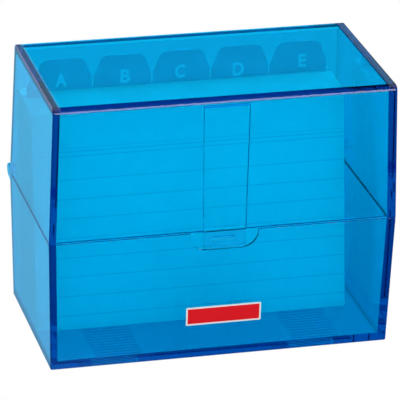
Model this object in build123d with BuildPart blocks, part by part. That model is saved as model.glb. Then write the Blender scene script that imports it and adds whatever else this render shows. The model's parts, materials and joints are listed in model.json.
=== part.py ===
from build123d import *
from math import cos, radians, sin, sqrt, tan
import os

os.makedirs("parts", exist_ok=True)

# Cards: upright at the back of the box, leaning more and more towards its front
card_width = 105.0
card_height = 74.0
card_thickness = 0.18
card_corner_radius = 0.5
card_gap = 0.02
pack_gap = 0.12
card_floor_gap = 0.05
card_back_gap = 0.7
card_side_gap = 0.4
front_lean = 8.7
cards_per_pack = 11
leaning_pack_count = 6
rear_pack_count = 3

# Index dividers: card-sized, each with a tab in its own place along the top
divider_letters = "abcde"
divider_thickness = 0.3
divider_gap = 0.1
divider_corner_radius = 2.0
tab_height = 10.95
tab_end_margin = 1.25
tab_gap = 0.4
tab_knee_rise = 3.4
tab_slope = 2.9
tab_corner_radius = 3.0

# Box halves: two drafted tubs that meet rim to rim, widest at the parting line and thinner at the back
box_depth = 63.5
base_height = 45.35
card_side_room = 5.08
head_room = 1.7
wall = 2.65
back_wall = 1.2
floor_thickness = 2.45
base_draft = 1.4
lid_draft = 1.55
edge_radius = 0.6
lid_front_radius = 2.2
lid_back_inner_radius = 2.0
inner_radius = 0.2
rim_radius = 0.12
rim_inner_radius = 0.5
parting_gap = 0.2

# Two ribbed patches on the floor keep the cards from sliding
rib_pitch = 2.0
rib_width = 0.9
rib_height = 0.1
rib_length = 16.0
rib_patch_offset = 34.0
rib_margin = 1.5

# Hinge: pintles moulded on the lid turn in blind ears moulded on the base
barrel_radius = 2.1
barrel_gap = 0.25
ear_length = 3.2
ear_cap = 0.8
knuckle_length = 4.0
hinge_end_gap = 0.2
pintle_radius = 1.1
pintle_clearance = 0.08
web_drop = 2.7

# Latch tongue: a strip of the lid's front wall between two slits, thinner where it bends and at its tip
tongue_root_width = 15.2
tongue_tip_width = 14.0
tongue_thickness = 2.2
tongue_inset = 0.1
tongue_reach = 5.8
tongue_corner_radius = 0.8
tongue_top_margin = 0.2
tongue_root_gap = 0.04
root_thickness = 0.6
root_drop = 0.6
tip_thickness = 0.5
tip_step_rise = 0.4
slit = 0.2

# Snap catch: a bead on the tongue drops under a ridge in the base's thumb recess
catch_length = 8.0
catch_height = 0.2
catch_taper = 45.0
catch_clearance = 0.05
catch_drop = 2.2
catch_gap = 0.05
bead_width = 1.0
ridge_width = 1.0
thumb_room = 4.6
tip_room = 0.4
recess_corner_radius = 5.6

# Label stuck on the front of the base
label_width = 25.6
label_height = 6.5
label_thickness = 0.12
label_rise = 15.35
label_shift = 0.6
label_corner_radius = 0.4

# How far a cut runs past the face it opens
overrun = 1.0

# Sizes and places that follow from those above
base_lean = radians(base_draft)
lid_lean = radians(lid_draft)
base_draft_inset = (base_height - floor_thickness) * tan(base_lean)
inner_width = card_width + card_side_room + 2 * base_draft_inset
inner_depth = box_depth - wall - back_wall
inner_middle_y = (wall - back_wall) / 2
box_width = inner_width + 2 * wall
floor_half_depth = inner_depth / 2 - base_draft_inset
card_foot_rise = rib_height + card_floor_gap
card_foot_height = floor_thickness + card_foot_rise
corner_reach = inner_radius - sqrt(inner_radius**2 - max(inner_radius - card_foot_rise, 0) ** 2)
stack_middle_x = corner_reach + card_side_gap - card_side_room / 2
box_height = card_foot_height + card_height + tab_height + head_room + wall
lid_rim_height = base_height + parting_gap
lid_height = box_height - lid_rim_height
lid_inset = lid_height * tan(lid_lean)
lid_ceiling = box_height - wall
ceiling_inset = (lid_height - wall) * tan(lid_lean)
rib_count = int(2 * (floor_half_depth - rib_margin) / rib_pitch) + 1
divider_count = len(divider_letters)
tab_pitch = (card_width - 2 * tab_end_margin) / divider_count

rim_plane = Plane.XY.offset(base_height)
floor_plane = Plane.XY.offset(floor_thickness)
base_front = Plane(
    origin=(0, -box_depth / 2, base_height),
    x_dir=(1, 0, 0),
    z_dir=(0, -cos(base_lean), -sin(base_lean)),
)
lid_front = Plane(
    origin=(0, -box_depth / 2, lid_rim_height),
    x_dir=(1, 0, 0),
    z_dir=(0, -cos(lid_lean), sin(lid_lean)),
)

hinge_y = box_depth / 2 + barrel_gap + barrel_radius
wall_middle_y = box_depth / 2 - back_wall / 2
ear_inner_x = box_width / 2 - ear_length
ear_bore_depth = ear_length - ear_cap
knuckle_outer_x = ear_inner_x - hinge_end_gap

slot_top = lid_height - lid_front_radius - tongue_top_margin
tongue_top = slot_top - tongue_root_gap
slot_through_top = min(lid_height - wall, slot_top) - root_drop
root_pocket_depth = tongue_inset + root_thickness + tongue_root_gap
tongue_bottom = -tongue_reach - parting_gap
recess_width = tongue_tip_width + 2 * thumb_room
recess_height = tongue_reach + tip_room
recess_depth = tongue_inset + tip_thickness + catch_height + catch_clearance
bead_middle = -catch_drop - ridge_width / 2 - catch_gap - bead_width / 2 - parting_gap


def lid_side_view(front_y, back_y, top, top_inset):
    """Side view of the lid or of its hollow: widest at the rim, drafted towards the top."""
    Polygon(
        (front_y, lid_rim_height),
        (back_y, lid_rim_height),
        (back_y - top_inset, top),
        (front_y + top_inset, top),
        align=None,
    )


def drafted_sides(half_width):
    """Left and right sides of the lid or its hollow, cut to their draft."""
    for side in (-1, 1):
        side_plane = Plane(
            origin=(side * half_width, 0, lid_rim_height),
            x_dir=(0, 1, 0),
            z_dir=(side * cos(lid_lean), 0, sin(lid_lean)),
        )
        split(bisect_by=side_plane, keep=Keep.BOTTOM)


def hinge_section(side, web_start):
    """Barrel on the hinge axis with a web to the back wall, above it (1) or below it (-1)."""
    with Locations((hinge_y, base_height)):
        Circle(barrel_radius)
    Polygon(
        (hinge_y, base_height + side * web_start),
        (hinge_y, base_height + side * barrel_radius),
        (wall_middle_y, base_height + side * web_drop),
        (wall_middle_y, base_height + side * web_start),
        align=None,
    )


def tongue_half_width(height, side_gap):
    """Half the width of the tapering tongue, or of its slot, at a height on the lid's front."""
    taper = (tongue_root_width - tongue_tip_width) / (tongue_top - tongue_bottom)
    return (tongue_tip_width + (height - tongue_bottom) * taper) / 2 + side_gap


def tongue_outline(top, bottom, side_gap):
    """Tapering strip between two heights on the lid's front."""
    Polygon(
        (-tongue_half_width(top, side_gap), top),
        (-tongue_half_width(bottom, side_gap), bottom),
        (tongue_half_width(bottom, side_gap), bottom),
        (tongue_half_width(top, side_gap), top),
        align=None,
    )


def card_plane(foot_y, lean):
    """Plane of a card's front face, with its origin at the middle of the card's foot."""
    tilt = radians(lean)
    return Plane(
        origin=(stack_middle_x, foot_y, card_foot_height),
        x_dir=(1, 0, 0),
        z_dir=(0, -cos(tilt), sin(tilt)),
    )


# Base
with BuildPart() as base_cavity:
    with BuildSketch(rim_plane):
        with Locations((0, inner_middle_y)):
            Rectangle(inner_width, inner_depth)
    extrude(amount=-(base_height - floor_thickness), taper=base_draft)
    fillet(base_cavity.edges().sort_by(Axis.Z)[:-4], radius=inner_radius)

with BuildPart() as base_shell:
    with BuildSketch(rim_plane):
        Rectangle(box_width, box_depth)
    extrude(amount=-base_height, taper=base_draft)
    fillet(base_shell.edges().sort_by(Axis.Z)[:-4], radius=edge_radius)
    add(base_cavity.part, mode=Mode.SUBTRACT)
    fillet(base_shell.faces().sort_by(Axis.Z)[-1].inner_wires()[0].edges(), radius=rim_inner_radius)
    fillet(base_shell.faces().sort_by(Axis.Z)[-1].outer_wire().edges(), radius=rim_radius)

    with BuildSketch(floor_plane):
        with Locations((0, inner_middle_y)):
            with GridLocations(2 * rib_patch_offset, rib_pitch, 2, rib_count):
                Rectangle(rib_length, rib_width)
    extrude(amount=rib_height)

    with BuildSketch(base_front) as recess_sketch:
        with Locations((0, overrun)):
            Rectangle(recess_width, recess_height + overrun, align=(Align.CENTER, Align.MAX))
        fillet(recess_sketch.vertices().sort_by(Axis.Y)[:2], radius=recess_corner_radius)
    extrude(amount=-recess_depth, mode=Mode.SUBTRACT)
    with BuildSketch(base_front.offset(-recess_depth)):
        with Locations((0, -catch_drop)):
            Rectangle(catch_length, ridge_width)
    extrude(amount=catch_height, taper=catch_taper)
    split(bisect_by=rim_plane, keep=Keep.BOTTOM)

    for side in (-1, 1):
        with BuildSketch(Plane.YZ.offset(side * ear_inner_x)):
            hinge_section(-1, 0)
        extrude(amount=side * ear_length)
        with BuildSketch(Plane.YZ.offset(side * ear_inner_x)):
            with Locations((hinge_y, base_height)):
                Circle(pintle_radius + pintle_clearance)
        extrude(amount=side * ear_bore_depth, mode=Mode.SUBTRACT)

base_shell.part.label = "base_shell"
export_step(base_shell.part, "parts/base_shell.step")

# Lid
with BuildPart() as lid_cavity:
    with BuildSketch(Plane.YZ) as hollow_view:
        lid_side_view(wall - box_depth / 2, box_depth / 2 - back_wall, lid_ceiling, ceiling_inset)
        hollow_corners = hollow_view.vertices().group_by(Axis.Y)[-1].sort_by(Axis.X)
        fillet(hollow_corners[-1], radius=lid_back_inner_radius)
    extrude(amount=inner_width / 2, both=True)
    drafted_sides(inner_width / 2)
    hollow_front = lid_cavity.edges().filter_by(Axis.X).group_by(Axis.Z)[-1].sort_by(Axis.Y)[0]
    hollow_sides = lid_cavity.edges().filter_by(Axis.X, reverse=True).sort_by(Axis.Z)[2:]
    fillet(hollow_sides + [hollow_front], radius=inner_radius)

with BuildPart() as lid_shell:
    with BuildSketch(Plane.YZ) as lid_view:
        lid_side_view(-box_depth / 2, box_depth / 2, box_height, lid_inset)
        lid_corners = lid_view.vertices().group_by(Axis.Y)[-1].sort_by(Axis.X)
        fillet(lid_corners[0], radius=lid_front_radius)
    extrude(amount=box_width / 2, both=True)
    drafted_sides(box_width / 2)
    lid_back = lid_shell.edges().filter_by(Axis.X).group_by(Axis.Z)[-1].sort_by(Axis.Y)[-1]
    lid_sides = lid_shell.edges().filter_by(Axis.X, reverse=True).sort_by(Axis.Z)[2:]
    fillet(lid_sides + [lid_back], radius=edge_radius)
    add(lid_cavity.part, mode=Mode.SUBTRACT)
    fillet(lid_shell.faces().sort_by(Axis.Z)[0].inner_wires()[0].edges(), radius=rim_inner_radius)
    fillet(lid_shell.faces().sort_by(Axis.Z)[0].outer_wire().edges(), radius=rim_radius)

    with BuildSketch(lid_front):
        tongue_outline(slot_through_top, -overrun, slit)
    extrude(amount=wall + overrun, both=True, mode=Mode.SUBTRACT)
    with BuildSketch(lid_front):
        tongue_outline(slot_top, -overrun, slit)
    extrude(amount=-root_pocket_depth, mode=Mode.SUBTRACT)

    for side in (-1, 1):
        with BuildSketch(Plane.YZ.offset(side * knuckle_outer_x)):
            hinge_section(1, parting_gap)
        extrude(amount=-side * knuckle_length)
        with BuildSketch(Plane.YZ.offset(side * knuckle_outer_x)):
            with Locations((hinge_y, base_height)):
                Circle(pintle_radius)
        extrude(amount=side * ear_bore_depth)

lid_shell.part.label = "lid_shell"
export_step(lid_shell.part, "parts/lid_shell.step")

# Latch tongue, with the bead that snaps under the base's catch ridge
with BuildPart() as latch_tongue:
    with BuildSketch(lid_front.offset(-tongue_inset)) as tongue_sketch:
        tongue_outline(tongue_top, tongue_bottom, 0)
        fillet(tongue_sketch.vertices().sort_by(Axis.Y)[:2], radius=tongue_corner_radius)
    extrude(amount=-tip_thickness)
    with BuildSketch(lid_front.offset(-tongue_inset)):
        tongue_outline(tongue_top, tip_step_rise, 0)
    extrude(amount=-root_thickness)
    with BuildSketch(lid_front.offset(-tongue_inset)):
        tongue_outline(slot_through_top - tongue_root_gap, tip_step_rise, 0)
    extrude(amount=-tongue_thickness)
    with BuildSketch(lid_front.offset(-tongue_inset - tip_thickness)):
        with Locations((0, bead_middle)):
            Rectangle(catch_length, bead_width)
    extrude(amount=-catch_height, taper=catch_taper)

latch_tongue.part.label = "latch_tongue"
export_step(latch_tongue.part, "parts/latch_tongue.step")
tongue_pivot = lid_front.offset(-tongue_inset - root_thickness / 2).from_local_coords((0, tongue_top, 0))

# Label
with BuildPart() as front_label:
    with BuildSketch(base_front):
        with Locations((label_shift, (label_rise - base_height) / cos(base_lean))):
            RectangleRounded(label_width, label_height, label_corner_radius)
    extrude(amount=label_thickness)

front_label.part.label = "front_label"
export_step(front_label.part, "parts/front_label.step")


def card_pack(name, places):
    """One node of separate cards, each standing at its own place and lean."""
    with BuildPart() as pack:
        for foot_y, lean in places:
            with BuildSketch(card_plane(foot_y, lean)):
                with Locations((0, card_height / 2)):
                    RectangleRounded(card_width, card_height, card_corner_radius)
            extrude(amount=-card_thickness)
    pack.part.label = name
    export_step(pack.part, f"parts/{name}.step")
    print(name, "foot", round(places[-1][0], 4), "lean", round(places[-1][1], 3))


def divider(name, foot_y, tab_middle):
    """One divider: a rounded card with a sloped, rounded tab standing up from its top edge."""
    tab_half_foot = (tab_pitch - tab_gap) / 2
    tab_half_top = tab_half_foot - tab_slope
    tab_foot = card_height - divider_corner_radius
    tab_knee = card_height + tab_knee_rise
    tab_top = card_height + tab_height
    with BuildPart() as leaf:
        with BuildSketch(card_plane(foot_y, 0)):
            with Locations((0, card_height / 2)):
                RectangleRounded(card_width, card_height, divider_corner_radius)
            with BuildLine():
                FilletPolyline(
                    (tab_middle - tab_half_foot, tab_foot),
                    (tab_middle - tab_half_foot, tab_knee),
                    (tab_middle - tab_half_top, tab_top),
                    (tab_middle + tab_half_top, tab_top),
                    (tab_middle + tab_half_foot, tab_knee),
                    (tab_middle + tab_half_foot, tab_foot),
                    radius=tab_corner_radius,
                )
                Line((tab_middle + tab_half_foot, tab_foot), (tab_middle - tab_half_foot, tab_foot))
            make_face()
        extrude(amount=-divider_thickness)
    leaf.part.label = name
    export_step(leaf.part, f"parts/{name}.step")
    print(name, "foot", round(foot_y, 4))


# Cards at the back stand upright against the back wall
lid_draft_inset = (card_foot_height + card_height - lid_rim_height) * tan(lid_lean)
back_half_depth = min(floor_half_depth - corner_reach, inner_depth / 2 - lid_draft_inset)
next_y = inner_middle_y + back_half_depth - card_back_gap
for pack_number in range(rear_pack_count, 0, -1):
    rear_places = []
    for card_index in range(cards_per_pack):
        next_y -= card_thickness
        rear_places.append((next_y, 0))
        next_y -= card_gap
    card_pack(f"rear_cards_{pack_number}", rear_places)
    next_y -= pack_gap

# Dividers, last letter at the back
for divider_index in reversed(range(divider_count)):
    next_y -= divider_thickness
    tab_middle = (divider_index - (divider_count - 1) / 2) * tab_pitch
    divider(f"divider_{divider_letters[divider_index]}", next_y, tab_middle)
    next_y -= divider_gap

# Leaning cards: each one's top edge rests close against the card behind it
leaning_count = cards_per_pack * leaning_pack_count + 1
behind_y = next_y + divider_gap
behind_lean = 0
leaning_places = []
for card_index in range(leaning_count):
    lean = front_lean * (card_index + 1) / leaning_count
    gap = pack_gap if card_index % cards_per_pack == 0 else card_gap
    tilt = radians(lean)
    top_rise = card_height * cos(tilt) - card_thickness * sin(tilt)
    top_reach = card_height * sin(tilt) + card_thickness * cos(tilt)
    behind_y += top_rise * tan(radians(behind_lean)) - top_reach - gap
    behind_lean = lean
    leaning_places.append((behind_y, lean))

for pack_number in range(leaning_pack_count, 0, -1):
    first = (leaning_pack_count - pack_number) * cards_per_pack
    card_pack(f"cards_{pack_number}", leaning_places[first:first + cards_per_pack])
card_pack("front_card", leaning_places[-1:])

print("box", round(box_width, 3), box_depth, round(box_height, 3), "lid", round(lid_height, 3))
print("card foot height", round(card_foot_height, 4), "stack middle", round(stack_middle_x, 4))
print("hinge axis", round(hinge_y, 4), base_height)
print("tongue pivot", round(tongue_pivot.Y, 4), round(tongue_pivot.Z, 4))
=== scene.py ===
import json
import math

import bmesh
import bpy
from mathutils import Matrix, Vector


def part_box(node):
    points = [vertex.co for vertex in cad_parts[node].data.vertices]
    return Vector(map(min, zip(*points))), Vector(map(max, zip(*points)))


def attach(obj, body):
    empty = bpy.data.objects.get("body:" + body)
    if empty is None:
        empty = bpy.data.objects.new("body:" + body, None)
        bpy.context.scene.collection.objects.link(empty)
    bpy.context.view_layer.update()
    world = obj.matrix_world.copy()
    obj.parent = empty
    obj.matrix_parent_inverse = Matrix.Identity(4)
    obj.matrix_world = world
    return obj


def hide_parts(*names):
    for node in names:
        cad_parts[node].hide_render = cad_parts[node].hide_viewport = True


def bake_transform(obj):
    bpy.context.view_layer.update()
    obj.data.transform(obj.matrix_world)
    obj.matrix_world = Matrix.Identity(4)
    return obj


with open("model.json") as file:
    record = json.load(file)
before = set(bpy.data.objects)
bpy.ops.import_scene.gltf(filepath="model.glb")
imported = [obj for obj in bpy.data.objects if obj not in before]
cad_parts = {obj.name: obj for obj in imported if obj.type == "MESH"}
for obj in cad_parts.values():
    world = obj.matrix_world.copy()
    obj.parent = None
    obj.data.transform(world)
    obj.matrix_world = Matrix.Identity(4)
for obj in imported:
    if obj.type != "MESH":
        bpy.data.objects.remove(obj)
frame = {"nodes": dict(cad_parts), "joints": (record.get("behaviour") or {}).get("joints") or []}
nodes = frame["nodes"]
joints = {joint["name"]: joint for joint in frame["joints"]}
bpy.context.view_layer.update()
scene = bpy.context.scene
mm = 0.001
tabOrder = "abcde"   # the dividers' tabs, from left to right
plainWhite = (1.0, 1.0, 1.0, 1.0)
print("frame loaded:", len(nodes), "nodes")


# small helpers for node trees
def addNode(tree, kind, **settings):
    node = tree.nodes.new(kind)
    for name, value in settings.items():
        setattr(node, name, value)
    return node


def feed(tree, socket, value):
    if isinstance(value, bpy.types.NodeSocket):
        tree.links.new(value, socket)
    else:
        socket.default_value = value


def linkMath(tree, operation, first, second=0.0, clamp=False):
    node = addNode(tree, "ShaderNodeMath", operation=operation, use_clamp=clamp)
    feed(tree, node.inputs[0], first)
    feed(tree, node.inputs[1], second)
    return node.outputs[0]


def linkRange(tree, value, fromMin, fromMax, toMin, toMax, smooth=True):
    node = addNode(tree, "ShaderNodeMapRange", interpolation_type="SMOOTHSTEP" if smooth else "LINEAR")
    for name, entry in (("Value", value), ("From Min", fromMin), ("From Max", fromMax),
                        ("To Min", toMin), ("To Max", toMax)):
        feed(tree, node.inputs[name], entry)
    return node.outputs["Result"]


mixSockets = {"RGBA": (6, 7, 2), "FLOAT": (2, 3, 0)}   # a Mix node's two inputs and its result


def linkMix(tree, kind, factor, first, second):
    node = addNode(tree, "ShaderNodeMix", data_type=kind)
    firstPlace, secondPlace, resultPlace = mixSockets[kind]
    feed(tree, node.inputs[0], factor)
    feed(tree, node.inputs[firstPlace], first)
    feed(tree, node.inputs[secondPlace], second)
    return node.outputs[resultPlace]


def linkMixColour(tree, factor, first, second):
    return linkMix(tree, "RGBA", factor, first, second)


def linkMixLevel(tree, factor, first, second):
    return linkMix(tree, "FLOAT", factor, first, second)


def linkSplit(tree, vector):
    node = addNode(tree, "ShaderNodeSeparateXYZ")
    tree.links.new(vector, node.inputs[0])
    return node.outputs


def linkMapping(tree, vector, scale, rotation=(0.0, 0.0, 0.0)):
    node = addNode(tree, "ShaderNodeMapping")
    tree.links.new(vector, node.inputs["Vector"])
    node.inputs["Rotation"].default_value = rotation
    node.inputs["Scale"].default_value = scale
    return node.outputs["Vector"]


def linkNoise(tree, vector, scale, detail):
    node = addNode(tree, "ShaderNodeTexNoise")
    tree.links.new(vector, node.inputs["Vector"])
    feed(tree, node.inputs["Scale"], scale)
    node.inputs["Detail"].default_value = detail
    return node.outputs["Fac"]


def shadeColour(tree, colour, shade):
    node = addNode(tree, "ShaderNodeVectorMath", operation="SCALE")
    feed(tree, node.inputs[0], colour)
    feed(tree, node.inputs["Scale"], shade)
    return node.outputs[0]


def newMaterial(name):
    material = bpy.data.materials.new(name)
    material.use_nodes = True
    tree = material.node_tree
    return material, tree, tree.nodes["Principled BSDF"]


# paper fibre: shared by the cards, the dividers, their letters and the label
paperFibre = {
    "squeeze": (0.35, 1.0, 1.0),   # fibres lie along the sheet
    "grainDetail": 4.0, "grainShare": 0.6,
    "cloudDetail": 2.0, "cloudShare": 0.4,
}


def makeFibreGroup():
    look = paperFibre
    tree = bpy.data.node_groups.new("paperFibre", "ShaderNodeTree")
    for name in ("Grain", "Cloud", "Depth"):
        tree.interface.new_socket(name, in_out="INPUT", socket_type="NodeSocketFloat")
    for name in ("Shade", "Height"):
        tree.interface.new_socket(name, in_out="OUTPUT", socket_type="NodeSocketFloat")
    start = addNode(tree, "NodeGroupInput")
    end = addNode(tree, "NodeGroupOutput")
    where = addNode(tree, "ShaderNodeTexCoord").outputs["Object"]
    squeezed = linkMapping(tree, where, look["squeeze"])
    grain = linkNoise(tree, squeezed, start.outputs["Grain"], look["grainDetail"])
    cloud = linkNoise(tree, where, start.outputs["Cloud"], look["cloudDetail"])
    both = linkMath(tree, "ADD", linkMath(tree, "MULTIPLY", grain, look["grainShare"]),
                    linkMath(tree, "MULTIPLY", cloud, look["cloudShare"]))
    drop = linkMath(tree, "MULTIPLY", linkMath(tree, "SUBTRACT", 1.0, both), start.outputs["Depth"])
    tree.links.new(linkMath(tree, "SUBTRACT", 1.0, drop), end.inputs["Shade"])
    tree.links.new(grain, end.inputs["Height"])
    return tree


fibreGroup = makeFibreGroup()


def placeFibre(tree, grain, cloud, depth):
    group = addNode(tree, "ShaderNodeGroup", node_tree=fibreGroup)
    for name, value in (("Grain", grain), ("Cloud", cloud), ("Depth", depth)):
        group.inputs[name].default_value = value
    return group


def bumpFrom(tree, shader, height, strength, distance):
    bump = addNode(tree, "ShaderNodeBump")
    bump.inputs["Strength"].default_value = strength
    bump.inputs["Distance"].default_value = distance
    tree.links.new(height, bump.inputs["Height"])
    tree.links.new(bump.outputs["Normal"], shader.inputs["Normal"])


# one printed line: 1 on the line, 0 beside it
printedLine = {"fullInk": 0.6}   # share of the line's half width, before its edge fades


def makeRuleGroup():
    tree = bpy.data.node_groups.new("ruledLine", "ShaderNodeTree")
    for name in ("Distance", "Width"):
        tree.interface.new_socket(name, in_out="INPUT", socket_type="NodeSocketFloat")
    tree.interface.new_socket("Ink", in_out="OUTPUT", socket_type="NodeSocketFloat")
    start = addNode(tree, "NodeGroupInput")
    end = addNode(tree, "NodeGroupOutput")
    away = linkMath(tree, "ABSOLUTE", start.outputs["Distance"])
    half = linkMath(tree, "MULTIPLY", start.outputs["Width"], 0.5)
    core = linkMath(tree, "MULTIPLY", half, printedLine["fullInk"])
    tree.links.new(linkRange(tree, away, core, half, 1.0, 0.0), end.inputs["Ink"])
    return tree


ruleGroup = makeRuleGroup()


# box plastic: part of the tint is on the surface, part in the depth, so thick edges go navy
tintedPlastic = {
    "ior": 1.58,
    "tint": (0.05, 0.726, 1.0, 1.0),
    "thinTint": (0.12, 0.9, 1.0, 1.0),   # on the tongue's thin tip
    "absorb": (600.0, 35.0, 13.5),   # per metre: red, green, blue
    "rimInset": 3.85, "rimDrop": 0.7, "rimFade": (-0.3, 0.1),   # worn side rims of the lid, in mm
    "rimWear": 0.65, "rimRough": 0.7, "rimIor": 2.2,
    "smooth": 0.014, "rubbed": 0.045,   # roughness of clean and handled patches
    "patchScale": 38.0, "patchDetail": 3.0, "patchRange": (0.45, 0.75), "patchShare": 0.3,
    "scratchScale": 420.0, "scratchDetail": 2.0, "scratchRange": (0.68, 0.74), "scratchShare": 0.7,
    "scratchTurn": (0.3, 0.5, 0.9), "scratchStretch": (1.0, 0.03, 0.03),
}


def makeTintedPlastic(name, thinBelow=None):
    look = tintedPlastic
    material, tree, shader = newMaterial(name)
    shader.inputs["Base Color"].default_value = look["tint"]
    shader.inputs["Transmission Weight"].default_value = 1.0
    shader.inputs["IOR"].default_value = look["ior"]
    inside = addNode(tree, "ShaderNodeVolumeAbsorption")
    strongest = max(look["absorb"])
    inside.inputs["Density"].default_value = strongest
    inside.inputs["Color"].default_value = tuple(1 - a / strongest for a in look["absorb"]) + (1.0,)
    tree.links.new(inside.outputs["Volume"], tree.nodes["Material Output"].inputs["Volume"])
    where = addNode(tree, "ShaderNodeTexCoord").outputs["Object"]
    place = linkSplit(tree, where)
    if thinBelow is not None:
        thin = linkMath(tree, "LESS_THAN", place["Z"], thinBelow)
        colour = linkMixColour(tree, thin, look["tint"], look["thinTint"])
        tree.links.new(colour, shader.inputs["Base Color"])

    # the lid's side rims are worn dull
    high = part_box("lid_shell")[1]
    top = linkMath(tree, "GREATER_THAN", place["Z"], high[2] - look["rimDrop"] * mm)
    side = linkMath(tree, "ABSOLUTE", place["X"])
    rimStart = high[0] - look["rimInset"] * mm
    fadeStart, fadeEnd = (rimStart + fade * mm for fade in look["rimFade"])
    rim = linkRange(tree, side, fadeStart, fadeEnd, 0.0, look["rimWear"])
    tree.links.new(linkMath(tree, "MULTIPLY", top, rim), shader.inputs["Coat Weight"])
    shader.inputs["Coat Roughness"].default_value = look["rimRough"]
    shader.inputs["Coat IOR"].default_value = look["rimIor"]

    # handling marks: soft patches with fine straight scratches in them
    patch = linkNoise(tree, where, look["patchScale"], look["patchDetail"])
    stretched = linkMapping(tree, where, look["scratchStretch"], look["scratchTurn"])
    scratch = linkNoise(tree, stretched, look["scratchScale"], look["scratchDetail"])
    spots = linkRange(tree, patch, *look["patchRange"], 0.0, 1.0)
    lines = linkRange(tree, scratch, *look["scratchRange"], 0.0, 1.0)
    marks = linkMath(tree, "ADD", linkMath(tree, "MULTIPLY", lines, look["scratchShare"]), look["patchShare"])
    rubbed = linkMath(tree, "MULTIPLY", spots, marks)
    roughness = linkRange(tree, rubbed, 0.0, 1.0, look["smooth"], look["rubbed"], False)
    tree.links.new(roughness, shader.inputs["Roughness"])
    return material


# index cards: white paper with printed rules on the front, heights in mm above the card's foot
ruledCard = {
    "paper": (0.86, 0.86, 0.77, 1.0), "ink": (0.33, 0.36, 0.45, 1.0),
    "firstLine": 4.8, "linePitch": 6.7, "lineCount": 8, "lineWidth": 0.42, "lineInk": 0.34,
    "headLines": ((59.7, 0.36), (61.2, 0.36), (62.5, 0.2)),   # height, ink
    "fibre": (1400.0, 45.0, 0.05), "bump": (0.12, 0.00004),
    "roughness": 0.72, "gloss": 0.3,
}


def makeCardPaper():
    look = ruledCard
    material, tree, shader = newMaterial("cardPaper")
    face = addNode(tree, "ShaderNodeUVMap", uv_map="cardFace")
    height = linkMath(tree, "MULTIPLY", linkSplit(tree, face.outputs["UV"])["Y"], 1 / mm)

    def rule(distance):
        group = addNode(tree, "ShaderNodeGroup", node_tree=ruleGroup)
        feed(tree, group.inputs["Distance"], distance)
        group.inputs["Width"].default_value = look["lineWidth"]
        return group.outputs["Ink"]

    row = linkMath(tree, "DIVIDE", linkMath(tree, "SUBTRACT", height, look["firstLine"]), look["linePitch"])
    near = linkMath(tree, "SUBTRACT", row, linkMath(tree, "ROUND", row))
    lines = rule(linkMath(tree, "MULTIPLY", near, look["linePitch"]))
    inRows = linkMath(tree, "MULTIPLY", linkMath(tree, "GREATER_THAN", row, -0.5),
                      linkMath(tree, "LESS_THAN", row, look["lineCount"] - 0.5))
    ink = linkMath(tree, "MULTIPLY", linkMath(tree, "MULTIPLY", lines, inRows), look["lineInk"])
    for place, strength in look["headLines"]:
        head = rule(linkMath(tree, "SUBTRACT", height, place))
        ink = linkMath(tree, "MAXIMUM", ink, linkMath(tree, "MULTIPLY", head, strength))

    fibre = placeFibre(tree, *look["fibre"])
    tone = addNode(tree, "ShaderNodeAttribute", attribute_name="tone").outputs["Fac"]
    shade = linkMath(tree, "MULTIPLY", fibre.outputs["Shade"], tone)
    colour = linkMixColour(tree, ink, look["paper"], look["ink"])
    tree.links.new(shadeColour(tree, colour, shade), shader.inputs["Base Color"])
    shader.inputs["Roughness"].default_value = look["roughness"]
    shader.inputs["Specular IOR Level"].default_value = look["gloss"]
    bumpFrom(tree, shader, fibre.outputs["Height"], *look["bump"])
    return material


# divider board: pressed board, a little glossy, slightly paler along cut edges
dividerBoard = {
    "board": (0.46, 0.51, 0.64, 1.0), "edge": (0.6, 0.66, 0.72, 1.0),
    "edgeFacing": 0.5,   # a face turned further than this from front and back is a cut edge
    "fibre": (1100.0, 55.0, 0.12), "bump": (0.1, 0.00004), "roughness": 0.5,
}


def makeDividerBoard():
    look = dividerBoard
    material, tree, shader = newMaterial("dividerBoard")
    fibre = placeFibre(tree, *look["fibre"])
    facing = linkSplit(tree, addNode(tree, "ShaderNodeNewGeometry").outputs["True Normal"])
    cut = linkMath(tree, "LESS_THAN", linkMath(tree, "ABSOLUTE", facing["Y"]), look["edgeFacing"])
    colour = linkMixColour(tree, cut, look["board"], look["edge"])
    tree.links.new(shadeColour(tree, colour, fibre.outputs["Shade"]), shader.inputs["Base Color"])
    shader.inputs["Roughness"].default_value = look["roughness"]
    bumpFrom(tree, shader, fibre.outputs["Height"], *look["bump"])
    return material


letterInk = {"ink": (0.92, 0.93, 0.94), "fibre": (1500.0, 300.0, 0.12), "roughness": 0.55}


def makeLetterInk():
    look = letterInk
    material, tree, shader = newMaterial("letterInk")
    fibre = placeFibre(tree, *look["fibre"])
    tree.links.new(shadeColour(tree, look["ink"], fibre.outputs["Shade"]), shader.inputs["Base Color"])
    shader.inputs["Roughness"].default_value = look["roughness"]
    return material


# bare label: red field inside a white border, on coated paper
frontLabel = {
    "red": (0.9, 0.003, 0.012, 1.0), "white": (0.95, 0.94, 0.93, 1.0),
    "border": 0.55, "soft": 0.06,   # in mm
    "fibre": (1200.0, 200.0, 0.1), "bump": (0.05, 0.00003),
    "roughness": 0.32, "coat": 0.25, "coatRough": 0.2,
}


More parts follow.
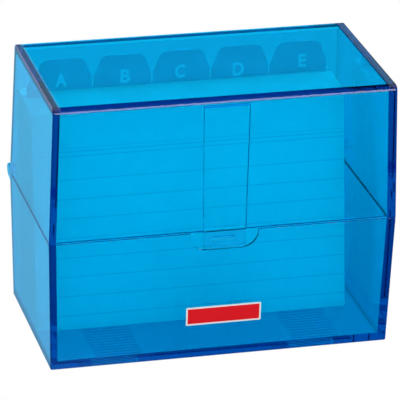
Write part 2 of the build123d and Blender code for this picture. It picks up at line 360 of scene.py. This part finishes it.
def makeLabelPaper():
    look = frontLabel
    low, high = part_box("front_label")
    material, tree, shader = newMaterial("labelPaper")
    place = linkSplit(tree, addNode(tree, "ShaderNodeTexCoord").outputs["Object"])
    field = 1.0
    for axis, lowest, highest in (("X", low[0], high[0]), ("Z", low[2], high[2])):
        middle, half = (lowest + highest) / 2, (highest - lowest) / 2
        away = linkMath(tree, "ABSOLUTE", linkMath(tree, "SUBTRACT", place[axis], middle))
        inner = half - look["border"] * mm
        edge = linkRange(tree, away, inner - look["soft"] * mm, inner + look["soft"] * mm, 1.0, 0.0)
        field = linkMath(tree, "MULTIPLY", edge, field)
    fibre = placeFibre(tree, *look["fibre"])
    colour = linkMixColour(tree, field, look["white"], look["red"])
    tree.links.new(shadeColour(tree, colour, fibre.outputs["Shade"]), shader.inputs["Base Color"])
    shader.inputs["Roughness"].default_value = look["roughness"]
    shader.inputs["Coat Weight"].default_value = look["coat"]
    shader.inputs["Coat Roughness"].default_value = look["coatRough"]
    bumpFrom(tree, shader, fibre.outputs["Height"], *look["bump"])
    return material


plasticMaterial = makeTintedPlastic("tintedPlastic")
tongueMaterial = makeTintedPlastic("tonguePlastic", joints["lid_hinge"]["pos_m"][2])
cardMaterial = makeCardPaper()
boardMaterial = makeDividerBoard()
letterMaterial = makeLetterInk()
labelMaterial = makeLabelPaper()
print("materials made")


def dress(node, material):
    mesh = nodes[node].data
    mesh.materials.clear()
    mesh.materials.append(material)


dress("base_shell", plasticMaterial)
dress("lid_shell", plasticMaterial)
dress("front_label", labelMaterial)
for letter in tabOrder:
    dress("divider_" + letter, boardMaterial)


def addPiece(name, mesh):
    piece = bpy.data.objects.new(name, mesh)
    scene.collection.objects.link(piece)
    return piece


# the stack: every card of the packs, at the same feet and leans as the solids, in mm
cardStack = {
    "width": 105.0, "height": 74.0, "thickness": 0.18, "corner": 0.5, "cornerSteps": 4,
    "gap": 0.02, "packGap": 0.12, "frontLean": 8.7,
    "perPack": 11, "leaningPacks": 6, "rearPacks": 3,
    "sideScatter": 0.2, "toneSpread": 0.07,
    "seed": 7, "rearSeed": 37, "toneSeedStep": 17.0,
    "unprinted": -1.0,   # height in the UV map for faces with no print, far below the first line
}


def cardOutline():
    look = cardStack
    radius, steps = look["corner"], look["cornerSteps"]
    side, low, high = look["width"] / 2 - radius, radius, look["height"] - radius
    corners = ((side, low, -90), (side, high, 0), (-side, high, 90), (-side, low, 180))
    points = []
    for middleX, middleZ, startAngle in corners:
        for step in range(steps + 1):
            angle = math.radians(startAngle + 90 * step / steps)
            points.append((middleX + radius * math.cos(angle), middleZ + radius * math.sin(angle)))
    return points


def makeCardSheet():
    look = cardStack
    outline = cardOutline()
    shape = bmesh.new()
    face = shape.loops.layers.uv.new("cardFace")
    front = [shape.verts.new((x * mm, 0, z * mm)) for x, z in outline]
    back = [shape.verts.new((x * mm, look["thickness"] * mm, z * mm)) for x, z in outline]
    frontFace = shape.faces.new(front)
    shape.faces.new(back[::-1])
    for here in range(len(front)):
        after = (here + 1) % len(front)
        shape.faces.new((front[after], front[here], back[here], back[after]))
    for polygon in shape.faces:
        for loop in polygon.loops:   # the rules are printed on the front alone
            height = loop.vert.co.z if polygon is frontFace else look["unprinted"]
            loop[face].uv = (loop.vert.co.x, height)
    mesh = bpy.data.meshes.new("cardSheet")
    shape.to_mesh(mesh)
    shape.free()
    return addPiece("cardSheet", mesh)


randomSockets = {"low": 2, "high": 3, "result": 1}   # a Random Value node's places for plain numbers


def linkRandom(tree, low, high, seed):
    node = addNode(tree, "FunctionNodeRandomValue", data_type="FLOAT")
    feed(tree, node.inputs[randomSockets["low"]], low)
    feed(tree, node.inputs[randomSockets["high"]], high)
    feed(tree, node.inputs["Seed"], seed)
    return node.outputs[randomSockets["result"]]


def makeCardPackTree():
    tree = bpy.data.node_groups.new("cardPack", "GeometryNodeTree")
    sockets = {}
    for name, kind in (("Geometry", "Geometry"), ("Card", "Object"), ("Side Scatter", "Float"),
                       ("Tone Spread", "Float"), ("Seed", "Int"), ("Paper", "Material")):
        socket = tree.interface.new_socket(name, in_out="INPUT", socket_type="NodeSocket" + kind)
        sockets[name] = socket.identifier
    tree.interface.new_socket("Geometry", in_out="OUTPUT", socket_type="NodeSocketGeometry")
    start = addNode(tree, "NodeGroupInput")
    end = addNode(tree, "NodeGroupOutput")
    card = addNode(tree, "GeometryNodeObjectInfo")
    tree.links.new(start.outputs["Card"], card.inputs["Object"])
    lean = addNode(tree, "GeometryNodeInputNamedAttribute", data_type="FLOAT")
    lean.inputs["Name"].default_value = "lean"
    tilt = addNode(tree, "ShaderNodeCombineXYZ")
    tree.links.new(linkMath(tree, "MULTIPLY", lean.outputs["Attribute"], -1.0), tilt.inputs["X"])
    turn = addNode(tree, "FunctionNodeEulerToRotation")
    tree.links.new(tilt.outputs[0], turn.inputs[0])
    place = addNode(tree, "GeometryNodeInstanceOnPoints")
    tree.links.new(start.outputs["Geometry"], place.inputs["Points"])
    tree.links.new(card.outputs["Geometry"], place.inputs["Instance"])
    tree.links.new(turn.outputs[0], place.inputs["Rotation"])
    # each card slips sideways a little, and no two sheets are quite the same white
    reach = start.outputs["Side Scatter"]
    slip = linkRandom(tree, linkMath(tree, "MULTIPLY", reach, -1.0), reach, start.outputs["Seed"])
    shift = addNode(tree, "ShaderNodeCombineXYZ")
    tree.links.new(slip, shift.inputs["X"])
    move = addNode(tree, "GeometryNodeTranslateInstances")
    move.inputs["Local Space"].default_value = False
    tree.links.new(place.outputs["Instances"], move.inputs["Instances"])
    tree.links.new(shift.outputs[0], move.inputs["Translation"])
    darkest = linkMath(tree, "SUBTRACT", 1.0, start.outputs["Tone Spread"])
    toneSeed = linkMath(tree, "ADD", start.outputs["Seed"], cardStack["toneSeedStep"])
    tone = addNode(tree, "GeometryNodeStoreNamedAttribute", data_type="FLOAT", domain="INSTANCE")
    tone.inputs["Name"].default_value = "tone"
    tree.links.new(move.outputs["Instances"], tone.inputs["Geometry"])
    tree.links.new(linkRandom(tree, darkest, 1.0, toneSeed), tone.inputs["Value"])
    real = addNode(tree, "GeometryNodeRealizeInstances")
    tree.links.new(tone.outputs["Geometry"], real.inputs["Geometry"])
    paper = addNode(tree, "GeometryNodeSetMaterial")
    tree.links.new(real.outputs["Geometry"], paper.inputs["Geometry"])
    tree.links.new(start.outputs["Paper"], paper.inputs["Material"])
    tree.links.new(paper.outputs["Geometry"], end.inputs["Geometry"])
    return tree, sockets


def leaningFeet():
    look = cardStack
    count = look["perPack"] * look["leaningPacks"] + 1
    behindY, behindLean = joints["divider_a_flip"]["pos_m"][1] / mm, 0.0
    places = []
    for index in range(count):   # from the dividers to the front, each card leans on the one behind it
        lean = math.radians(look["frontLean"]) * (index + 1) / count
        gap = look["packGap"] if index % look["perPack"] == 0 else look["gap"]
        rise = look["height"] * math.cos(lean) - look["thickness"] * math.sin(lean)
        reach = look["height"] * math.sin(lean) + look["thickness"] * math.cos(lean)
        behindY += rise * math.tan(behindLean) - reach - gap
        behindLean = lean
        places.append((behindY, lean))
    return places


def makePack(name, node, body, places, seed):
    look = cardStack
    stackX, _, footZ = joints["card_flip"]["pos_m"]
    feet = bpy.data.meshes.new(name + "Feet")
    feet.from_pydata([(stackX, y * mm, footZ) for y, _ in places], [], [])
    leans = feet.attributes.new("lean", "FLOAT", "POINT")
    leans.data.foreach_set("value", [lean for _, lean in places])
    maker = addPiece(name + "Maker", feet)
    modifier = maker.modifiers.new("cardPack", "NODES")
    modifier.node_group = packTree
    many = len(places) > 1   # a card by itself stands straight and is quite white
    settings = {"Card": cardSheet, "Side Scatter": look["sideScatter"] * mm if many else 0.0,
                "Tone Spread": look["toneSpread"] if many else 0.0, "Seed": seed, "Paper": cardMaterial}
    for label, value in settings.items():
        modifier[packSockets[label]] = value
    sight = bpy.context.evaluated_depsgraph_get()
    mesh = bpy.data.meshes.new_from_object(maker.evaluated_get(sight))
    maker.modifiers.clear()
    bpy.data.objects.remove(maker)
    piece = addPiece(name, mesh)
    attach(piece, body)
    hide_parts(node)


cardSheet = makeCardSheet()
packTree, packSockets = makeCardPackTree()
leaning = leaningFeet()
for pack in range(1, cardStack["leaningPacks"] + 1):
    first = (cardStack["leaningPacks"] - pack) * cardStack["perPack"]
    makePack(f"cardPack{pack}", f"cards_{pack}", f"cards_{pack}",
             leaning[first:first + cardStack["perPack"]], cardStack["seed"] + pack)
makePack("frontCard", "front_card", "front_card", leaning[-1:], cardStack["seed"])
cardStep = cardStack["thickness"] + cardStack["gap"]
for pack in range(1, cardStack["rearPacks"] + 1):
    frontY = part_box(f"rear_cards_{pack}")[0][1] / mm
    upright = [(frontY + cardStep * index, 0.0) for index in range(cardStack["perPack"])]
    makePack(f"rearPack{pack}", f"rear_cards_{pack}", "base", upright, cardStack["rearSeed"] + pack)
bpy.data.objects.remove(cardSheet)
print("cards made:", len(leaning) + cardStack["rearPacks"] * cardStack["perPack"])


# tab letters: printed a little out of true, in mm
tabLetters = {
    "height": 4.7, "width": 3.9, "proud": 0.03, "sunk": 0.005, "pitch": 20.5,
    "narrower": {"b": 0.86, "c": 0.86, "e": 0.7},   # share of the width
    "offsets": {   # from the tab's middle, and below its top
        "a": (-0.6, 7.4), "b": (1.0, 7.65), "c": (-0.5, 7.5), "d": (-0.6, 8.3), "e": (1.5, 7.0),
    },
    "extrude": 0.5, "bolder": 0.028,   # in the font's own units, before it is scaled
}


def makeLetter(letter):
    look = tabLetters
    name = "tabLetter" + letter.upper()
    curve = bpy.data.curves.new("letter", "FONT")
    curve.body = letter.upper()
    curve.extrude = look["extrude"]
    curve.offset = look["bolder"]
    text = addPiece("letterText", curve)
    sight = bpy.context.evaluated_depsgraph_get()
    mesh = bpy.data.meshes.new_from_object(text.evaluated_get(sight))
    bpy.data.objects.remove(text)
    mesh.name = name
    low = [min(v.co[i] for v in mesh.vertices) for i in range(3)]
    high = [max(v.co[i] for v in mesh.vertices) for i in range(3)]
    size = (look["width"] * look["narrower"].get(letter, 1.0), look["height"], look["proud"] + look["sunk"])
    scale = [size[i] * mm / (high[i] - low[i]) for i in range(3)]
    mesh.transform(Matrix.Translation([-(a + b) / 2 for a, b in zip(low, high)]))
    mesh.transform(Matrix.Diagonal(scale + [1.0]))
    mesh.transform(Matrix.Rotation(math.radians(90), 4, "X"))
    boardLow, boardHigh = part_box("divider_" + letter)
    side, drop = look["offsets"][letter]
    fromMiddle = tabOrder.index(letter) - (len(tabOrder) - 1) / 2
    placeX = joints["card_flip"]["pos_m"][0] + (fromMiddle * look["pitch"] + side) * mm
    placeY = boardLow[1] - (look["proud"] - look["sunk"]) / 2 * mm
    mesh.transform(Matrix.Translation((placeX, placeY, boardHigh[2] - drop * mm)))
    mesh.materials.clear()
    mesh.materials.append(letterMaterial)
    piece = addPiece(name, mesh)
    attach(piece, "divider_" + letter)


for letter in tabOrder:
    makeLetter(letter)
print("tab letters made")


# latch tongue: the solid's own shape, cut across at even heights along its length
latchTongue = {"cuts": 28, "smoothAngle": 35.0, "flatAngle": 0.5, "weld": 1e-6}


def makeTongue():
    look = latchTongue
    shape = bmesh.new()
    shape.from_mesh(nodes["latch_tongue"].data)
    bmesh.ops.remove_doubles(shape, verts=shape.verts, dist=look["weld"])
    bmesh.ops.dissolve_limit(shape, angle_limit=math.radians(look["flatAngle"]),
                             verts=shape.verts, edges=shape.edges)
    low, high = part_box("latch_tongue")
    for cut in range(1, look["cuts"]):
        height = low[2] + (high[2] - low[2]) * cut / look["cuts"]
        bmesh.ops.bisect_plane(shape, geom=shape.verts[:] + shape.edges[:] + shape.faces[:],
                               plane_co=(0, 0, height), plane_no=(0, 0, 1))
    limit = math.radians(look["smoothAngle"])
    for edge in shape.edges:
        edge.smooth = len(edge.link_faces) == 2 and edge.calc_face_angle() < limit
    for polygon in shape.faces:
        polygon.smooth = True
    mesh = bpy.data.meshes.new("latchTongue")
    shape.to_mesh(mesh)
    shape.free()
    mesh.materials.append(tongueMaterial)
    piece = addPiece("latchTongue", mesh)
    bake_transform(piece)
    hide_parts("latch_tongue")


makeTongue()
print("latch tongue made")

photoCamera = {
    "azimuth": 15.128, "elevation": 23.179, "roll": 1.523,
    "place": (-0.26597, -0.98346, 0.47949),
    "lens": 297.11, "sensor": 36.0, "clipEnd": 50,
}


def makeCamera():
    look = photoCamera
    azimuth, elevation, roll = (math.radians(look[key]) for key in ("azimuth", "elevation", "roll"))
    level = Matrix.Rotation(elevation, 3, "X") @ Matrix.Rotation(azimuth, 3, "Z")
    right, forward, up = Matrix.Rotation(roll, 3, "Y") @ level
    data = bpy.data.cameras.new("photoCamera")
    data.lens = look["lens"]
    data.sensor_width = look["sensor"]
    data.clip_end = look["clipEnd"]
    camera = addPiece("photoCamera", data)
    rows = [(right[i], up[i], -forward[i], look["place"][i]) for i in range(3)]
    camera.matrix_world = Matrix(rows + [(0, 0, 0, 1)])
    scene.camera = camera


makeCamera()


# white studio: camera and see-through rays find a white floor,
# and mirrored rays find the dark, with a few soft lights in it
def mirroredRay(tree, path):
    glossy, through = path.outputs["Is Glossy Ray"], path.outputs["Is Transmission Ray"]
    return linkMath(tree, "SUBTRACT", glossy, through, True)


def hasBounced(tree, path, kind):
    return linkMath(tree, "GREATER_THAN", path.outputs[kind + " Depth"], 0.5)   # depths are whole numbers


studioFloor = {
    "half": 2.0, "drop": 0.0003, "white": 0.35, "roughness": 0.9,
    "underGlow": 3.0,   # the patch under the box glows, a painted light that lights the cards from below
    "mirrored": (0.22, 0.66, 1.0, 1.0), "mirrorBack": (-0.045, -0.02), "mirrorLeft": (-0.05, 0.0),
    # painted shadow of the box on the floor, seen through it: its colour under the box, its paler colour far
    # off, and how far it reaches
    "paintedShadeUnderBox": (0.3, 0.42, 0.56, 1.0), "paintedShadeFarOff": (0.72, 0.74, 0.78, 1.0), "shadeReach": (0.03, 0.22),
}


def makeFloor():
    look = studioFloor
    half, z = look["half"], -look["drop"]
    corners = [(-half, -half, z), (half, -half, z), (half, half, z), (-half, half, z)]
    mesh = bpy.data.meshes.new("floor")
    mesh.from_pydata(corners, [], [(0, 1, 2, 3)])
    floor = addPiece("floor", mesh)
    material, tree, shader = newMaterial("floorWhite")
    shader.inputs["Base Color"].default_value = (look["white"],) * 3 + (1.0,)
    shader.inputs["Roughness"].default_value = look["roughness"]
    path = addNode(tree, "ShaderNodeLightPath")
    mirrored = mirroredRay(tree, path)
    where = addNode(tree, "ShaderNodeTexCoord").outputs["Object"]
    place = linkSplit(tree, where)
    # the patch under the box also glows, a painted light thrown back up on the cards
    under = 1.0
    for axis, reach in zip("XY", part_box("base_shell")[1]):
        inReach = linkMath(tree, "LESS_THAN", linkMath(tree, "ABSOLUTE", place[axis]), reach)
        under = linkMath(tree, "MULTIPLY", inReach, under)
    bounced = hasBounced(tree, path, "Diffuse")
    seen = linkMath(tree, "MAXIMUM", linkMath(tree, "SUBTRACT", 1.0, bounced), under)
    through = linkMath(tree, "MULTIPLY", path.outputs["Is Transmission Ray"], seen)
    direct = linkMath(tree, "ADD", through, path.outputs["Is Camera Ray"])
    shown = linkMath(tree, "ADD", direct, mirrored, True)
    back = linkRange(tree, place["Y"], *look["mirrorBack"], 0.0, 1.0)
    left = linkRange(tree, place["X"], *look["mirrorLeft"], 1.0, 0.0)
    plain = linkMixLevel(tree, bounced, 1.0, look["underGlow"])
    level = linkMixLevel(tree, mirrored, plain, linkMath(tree, "MULTIPLY", back, left))
    # seen through the box, the floor shows a painted, tinted shadow under and behind it, paler far off
    away = addNode(tree, "ShaderNodeVectorMath", operation="LENGTH")
    tree.links.new(where, away.inputs[0])
    spread = linkRange(tree, away.outputs["Value"], *look["shadeReach"], 0.0, 1.0)
    shade = linkMixColour(tree, spread, look["paintedShadeUnderBox"], look["paintedShadeFarOff"])
    colour = linkMixColour(tree, through, plainWhite, shade)
    glow = addNode(tree, "ShaderNodeEmission")
    tree.links.new(linkMixColour(tree, mirrored, colour, look["mirrored"]), glow.inputs["Color"])
    tree.links.new(level, glow.inputs["Strength"])
    mix = addNode(tree, "ShaderNodeMixShader")
    tree.links.new(shown, mix.inputs[0])
    tree.links.new(shader.outputs[0], mix.inputs[1])
    tree.links.new(glow.outputs[0], mix.inputs[2])
    tree.links.new(mix.outputs[0], tree.nodes["Material Output"].inputs["Surface"])
    mesh.materials.append(material)


studioLight = {
    "background": 1.0, "onLabel": 1.3,
    # light that reaches the cards through the tint: from low down, from higher up, and the heights between
    "insideLow": 3.6, "insideHigh": 0.45, "insideFade": (0.05, 0.35),
    "insideSpots": (   # direction, start and full cosine, strength
        ((0.0, -0.95, 0.3), 0.7, 0.95, 2.6),   # frontal light
        ((0.0, 0.62, 0.78), 0.4, 0.9, 5.6),   # light from behind on the stack
    ),
    "mirrored": 0.01,
    "softboxes": (   # direction, start and full cosine, colour
        ((-0.55, 0.8, 0.2), 0.80, 0.92, (1.0, 0.75, 1.4)),   # haze on the left wall
        ((0.33, -0.88, 0.33), 0.955, 0.985, (5.0, 4.6, 5.0)),   # highlight on the lid's front edge
        ((0.24, 0.89, 0.4), 0.93, 0.97, (0.0, 0.3, 0.45)),   # haze on the lid's top
    ),
}


def makeWorld():
    look = studioLight
    world = bpy.data.worlds.new("studio")
    scene.world = world
    world.use_nodes = True
    tree = world.node_tree
    background = tree.nodes["Background"]
    path = addNode(tree, "ShaderNodeLightPath")
    direction = addNode(tree, "ShaderNodeTexCoord").outputs["Generated"]
    height = linkSplit(tree, direction)["Z"]
    inside = linkRange(tree, height, *look["insideFade"], look["insideLow"], look["insideHigh"])

    def spot(axis, begin, full, strength):
        dot = addNode(tree, "ShaderNodeVectorMath", operation="DOT_PRODUCT")
        tree.links.new(direction, dot.inputs[0])
        dot.inputs[1].default_value = Vector(axis).normalized()
        return linkRange(tree, dot.outputs["Value"], begin, full, 0.0, strength)

    for entry in look["insideSpots"]:
        inside = linkMath(tree, "ADD", inside, spot(*entry))
    mirrored = (look["mirrored"],) * 3
    for axis, begin, full, colour in look["softboxes"]:
        lamp = shadeColour(tree, colour, spot(axis, begin, full, 1.0))
        total = addNode(tree, "ShaderNodeVectorMath", operation="ADD")
        tree.links.new(lamp, total.inputs[0])
        feed(tree, total.inputs[1], mirrored)
        mirrored = total.outputs[0]
    diffused = hasBounced(tree, path, "Diffuse")
    through = hasBounced(tree, path, "Transmission")
    outside = linkMixLevel(tree, diffused, look["background"], look["onLabel"])
    level = linkMixLevel(tree, linkMath(tree, "MULTIPLY", diffused, through), outside, inside)
    mirrorOnly = mirroredRay(tree, path)
    tree.links.new(linkMixColour(tree, mirrorOnly, plainWhite, mirrored), background.inputs["Color"])
    tree.links.new(linkMixLevel(tree, mirrorOnly, level, 1.0), background.inputs["Strength"])


makeFloor()
makeWorld()
scene.view_settings.view_transform = "Standard"
clearBounces = 64   # light crosses many walls of clear plastic
scene.cycles.max_bounces = clearBounces
scene.cycles.transmission_bounces = clearBounces
scene.cycles.glossy_bounces = clearBounces
scene.cycles.diffuse_bounces = 6
print("studio made")
